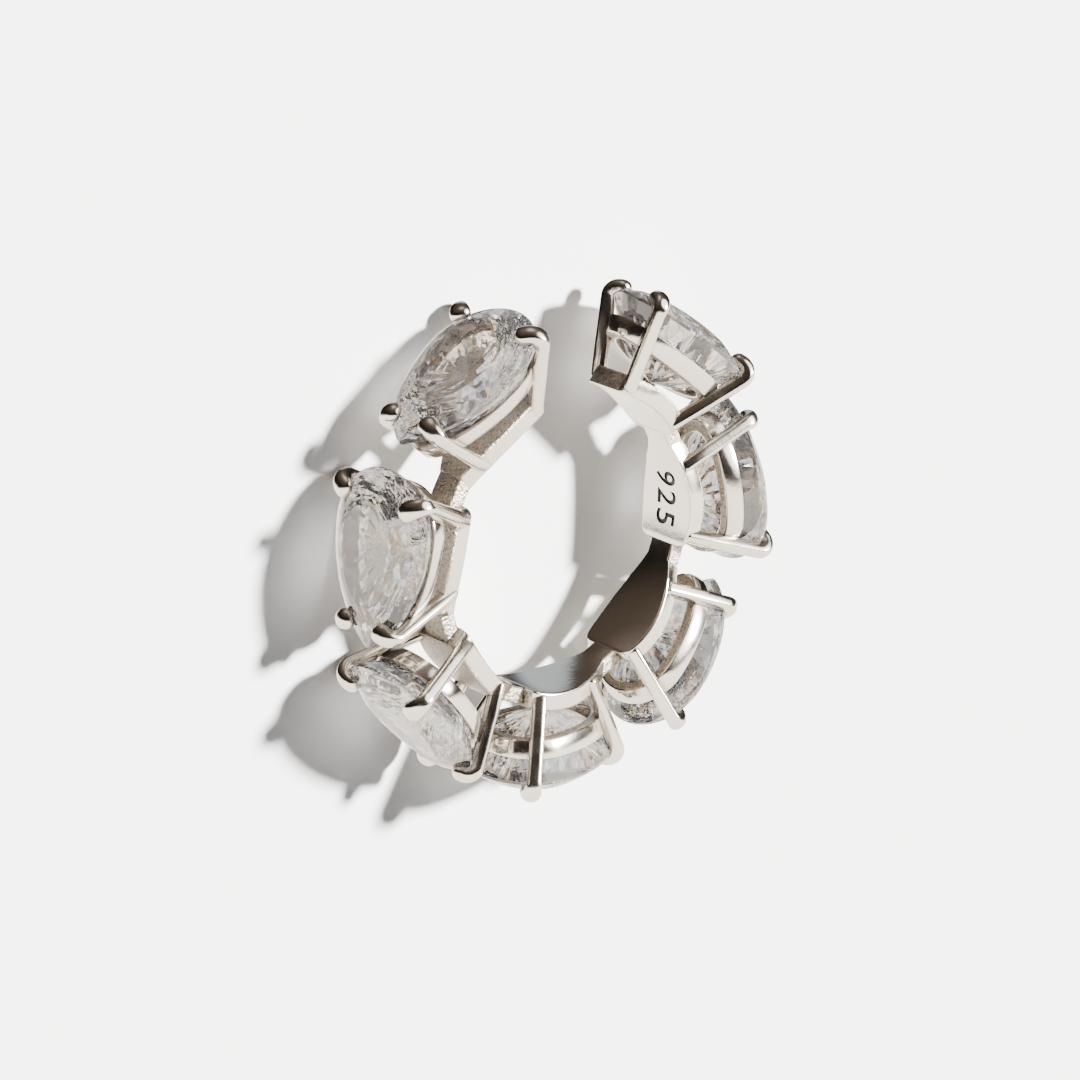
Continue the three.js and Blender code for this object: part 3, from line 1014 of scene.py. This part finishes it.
def from_floor(azimuth, rise):
    """The direction with this azimuth and this rise above the floor, both in degrees."""
    azimuth, rise = math.radians(azimuth), math.radians(rise)
    flat = math.cos(rise)
    return Vector((flat * math.cos(azimuth), flat * math.sin(azimuth), math.sin(rise)))


def view_basis():
    """The picture's right, its up, and the way back to the camera."""
    roll = math.radians(VIEW_ROLL)
    back = from_floor(VIEW_AZIMUTH, VIEW_RISE)
    level = Vector((0, 0, 1)).cross(back).normalized()
    upright = back.cross(level)
    up = upright * math.cos(roll) + level * math.sin(roll)
    right = level * math.cos(roll) - upright * math.sin(roll)
    return right, up, back


RIGHT, UP, BACK = view_basis()
camera = bpy.data.objects.new("camera", bpy.data.cameras.new("camera"))
camera.data.lens = LENS
camera.data.sensor_width = SENSOR
camera.data.clip_start, camera.data.clip_end = CLIP
camera.data.shift_x, camera.data.shift_y = SHIFT
camera.matrix_world = Matrix.Translation(RING_CENTRE + BACK * VIEW_DISTANCE * MM) @ Matrix(
    (RIGHT, UP, BACK)).transposed().to_4x4()
bpy.context.collection.objects.link(camera)
bpy.context.scene.camera = camera
print("camera at:", [round(value, 4) for value in camera.matrix_world.translation])

# %% [markdown]
# ## Floor
# A plain pale floor. Silver and stones are kept from seeing it, since a floor this bright would leave
# them as white as itself, and they see the room's own lower half in its place.

# %% Floor
FLOOR_HALF = 1.5
FLOOR_COLOUR = (0.86, 0.86, 0.865, 1.0)
FLOOR_ROUGHNESS = 0.85


def make_floor():
    """A square at the height that the cuff lies on."""
    corners = [(x * FLOOR_HALF, y * FLOOR_HALF, 0) for x, y in ((-1, -1), (1, -1), (1, 1), (-1, 1))]
    floor = new_piece("floor", corners, [(0, 1, 2, 3)])
    material = bpy.data.materials.new("pale_floor")
    material.use_nodes = True
    shader = material.node_tree.nodes["Principled BSDF"]
    shader.inputs["Base Color"].default_value = FLOOR_COLOUR
    shader.inputs["Roughness"].default_value = FLOOR_ROUGHNESS
    floor.data.materials.append(material)
    floor.visible_glossy = False
    floor.visible_transmission = False
    return floor


print("floor is a stage piece:", make_floor().name)

# %% [markdown]
# ## Lamp
# One wide, soft lamp stands to the right of the picture and throws the shadow to the left. An area
# lamp could do this too, but with a sun lamp its angle alone says how soft the shadow's edge is,
# wherever the lamp hangs.

# %% Lamp
LAMP_FROM = (30, 50)
LAMP_DISTANCE = 0.3
LAMP_STRENGTH = 29.0
LAMP_COLOUR = (1.0, 0.97, 0.94)
LAMP_WIDTH = 7.0


def window_light():
    """The lamp, with its width in degrees as seen from the cuff."""
    light = bpy.data.lights.new("window_light", "SUN")
    light.energy = LAMP_STRENGTH
    light.color = LAMP_COLOUR
    light.angle = math.radians(LAMP_WIDTH)
    lamp = bpy.data.objects.new("window_light", light)
    direction = from_floor(*LAMP_FROM)
    lamp.location = RING_CENTRE + direction * LAMP_DISTANCE
    lamp.rotation_euler = direction.to_track_quat("Z", "Y").to_euler()
    bpy.context.collection.objects.link(lamp)
    return lamp


print("lamp:", window_light().name)

# %% [markdown]
# ## Room
# Silver shows its surroundings and would look like white plastic in a room without any dark. So the
# world shader draws a room in bands along the picture's upward direction: a bright lower half and a
# dark brown upper half, with a window and a cool card in it. First come four helpers: for a direction
# in the picture, for how far a ray points along it, for bands of colour, and for a mix.

# %% Bands and mixes
def toward(right, up, back):
    """A direction given along the picture's right, its up, and the way back to the camera."""
    return (RIGHT * right + UP * up + BACK * back).normalized()


def part_along(tree, place, axis):
    """How far each direction points along an axis, from -1 to 1."""
    part = node(tree, "ShaderNodeVectorMath", operation="DOT_PRODUCT")
    part.inputs[1].default_value = tuple(axis)
    tree.links.new(place.outputs["Generated"], part.inputs[0])
    return part.outputs["Value"]


def bands(tree, part, stops):
    """Colours in bands, each stop a place from -1 to 1 and a colour."""
    share = remap(tree, part, (-1.0, 1.0), 0.0, 1.0)
    return colour_ramp(tree, share, [((spot + 1) / 2, colour) for spot, colour in stops], "EASE")


def blend(tree, share, first, second):
    """Mix of two colours, each given as a colour or as an earlier mix."""
    mix = node(tree, "ShaderNodeMix", data_type="RGBA")
    if isinstance(share, float):
        mix.inputs["Factor"].default_value = share
    else:
        tree.links.new(share, mix.inputs["Factor"])
    colours = [socket for socket in mix.inputs if socket.type == "RGBA"]
    for socket, colour in zip(colours, (first, second)):
        if isinstance(colour, tuple):
            socket.default_value = (*colour, 1.0)
        else:
            tree.links.new(colour, socket)
    return [socket for socket in mix.outputs if socket.type == "RGBA"][0]


print("picture's up, in the frame:", [round(value, 3) for value in toward(0, 1, 0)])

# %% [markdown]
# The stones see the same room broken into patches, because a stone turns every patch into a flash of
# its own. The matt floor takes only an even fill, so that its shadow stays clear. Light Path tells
# the three kinds of ray apart.

# %% Room
ROOM_TILT = 15
FILL = (0.24, 0.24, 0.25)
CLUTTER = (
    (-1.0, (0.3, 0.26, 0.22)), (0.38, (0.3, 0.26, 0.22)), (0.46, (0.9, 0.82, 0.74)),
    (0.51, (1.8, 1.72, 1.64)), (0.56, (0.5, 0.56, 0.74)), (0.61, (1.6, 1.15, 0.74)),
    (1.0, (0.8, 0.76, 0.72)),
)
CLUTTER_SIZE = 18.0
CLUTTER_SHARE = 0.82
BY_HEIGHT = (
    (-1.0, (3.1, 2.9, 2.6)), (-0.16, (3.5, 3.3, 3.0)), (-0.03, (0.03, 0.025, 0.022)),
    (0.3, (0.02, 0.017, 0.015)), (0.75, (0.1, 0.078, 0.06)), (0.93, (0.22, 0.18, 0.15)),
    (1.0, (0.9, 0.86, 0.82)),
)
WINDOW_AT = (0.85, 0.4, 0.35)
WINDOW_COLOUR = (4.0, 4.0, 4.0)
BY_WINDOW = ((-1.0, (0, 0, 0)), (0.86, (0, 0, 0)), (0.93, (1, 1, 1)), (1.0, (1, 1, 1)))
CARD_AT = (-0.05, 0.6, -0.8)
CARD_COLOUR = (0.7, 0.76, 0.84)
BY_CARD = ((-1.0, (0, 0, 0)), (0.95, (0, 0, 0)), (0.985, (1, 1, 1)), (1.0, (1, 1, 1)))


def room():
    """World shader: the banded room for silver, the patchy one for stones, a fill for the rest."""
    world = bpy.data.worlds.new("room")
    bpy.context.scene.world = world
    world.use_nodes = True
    tree = world.node_tree
    place = node(tree, "ShaderNodeTexCoord")
    tilt = math.radians(ROOM_TILT)
    colour = bands(tree, part_along(tree, place, toward(0, math.cos(tilt), math.sin(tilt))), BY_HEIGHT)
    window = bands(tree, part_along(tree, place, toward(*WINDOW_AT)), BY_WINDOW)
    colour = blend(tree, window, colour, WINDOW_COLOUR)
    card = bands(tree, part_along(tree, place, toward(*CARD_AT)), BY_CARD)
    colour = blend(tree, card, colour, CARD_COLOUR)
    ray = node(tree, "ShaderNodeLightPath")
    cloud = node(tree, "ShaderNodeTexNoise", Scale=CLUTTER_SIZE, Detail=2.0)
    tree.links.new(place.outputs["Generated"], cloud.inputs["Vector"])
    softened = blend(tree, CLUTTER_SHARE, colour, bands(tree, cloud.outputs["Fac"], CLUTTER))
    seen = blend(tree, ray.outputs["Is Glossy Ray"], FILL, colour)
    colour = blend(tree, ray.outputs["Is Transmission Ray"], seen, softened)
    background = tree.nodes["Background"]
    tree.links.new(colour, background.inputs["Color"])
    background.inputs["Strength"].default_value = 1.0
    return world


print("world:", room().name)
